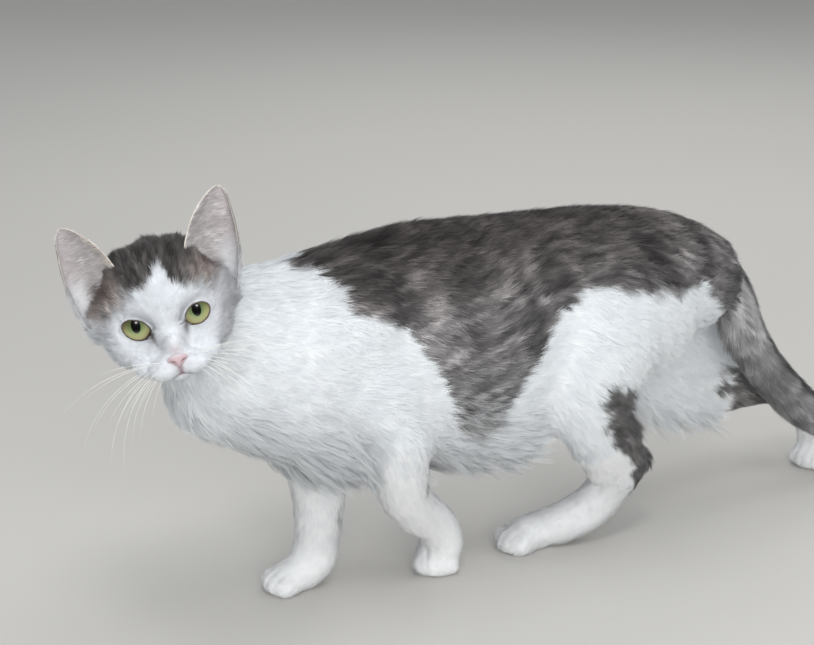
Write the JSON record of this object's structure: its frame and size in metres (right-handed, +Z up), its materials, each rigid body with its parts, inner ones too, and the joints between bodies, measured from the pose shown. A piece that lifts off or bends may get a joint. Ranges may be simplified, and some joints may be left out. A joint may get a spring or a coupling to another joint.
{
  "type": "cat",
  "caption": "Young short-haired cat in mid-walk, tabby saddle and cap over white, head turned to its left, tail trailing low.",
  "frame": {"origin": "on the floor, under the middle of the whole cat's length and width", "axes": "+Z up; the cat walks along -X, its left side is at -Y, and its head is turned towards -Y"},
  "size_m": [0.6178, 0.1392, 0.2847],
  "materials": {
    "white_coat": "short soft fur",
    "tabby_coat": "short soft fur, faintly streaked",
    "ear_skin": "thin skin under very short fur",
    "eye": "wet, yellow-green iris with an upright pupil",
    "nose_leather": "bare, slightly damp"
  },
  "bodies": {
    "root": {"head": "white_coat", "neck": "white_coat", "chest": "white_coat", "abdomen": "tabby_coat", "rump": "tabby_coat", "thigh_left": "white_coat", "thigh_right": "white_coat", "shank_left": "white_coat", "shank_right": "white_coat", "foot_left": "white_coat", "foot_right": "white_coat", "foreleg_left": "white_coat", "foreleg_right": "white_coat", "paw_left": "white_coat", "paw_right": "white_coat", "tail_base": "tabby_coat", "tail_middle": "tabby_coat", "tail_tip": "tabby_coat", "ear_left": "ear_skin", "ear_right": "ear_skin", "eye_left": "eye", "eye_right": "eye", "nose": "nose_leather"}
  },
  "joints": []
}
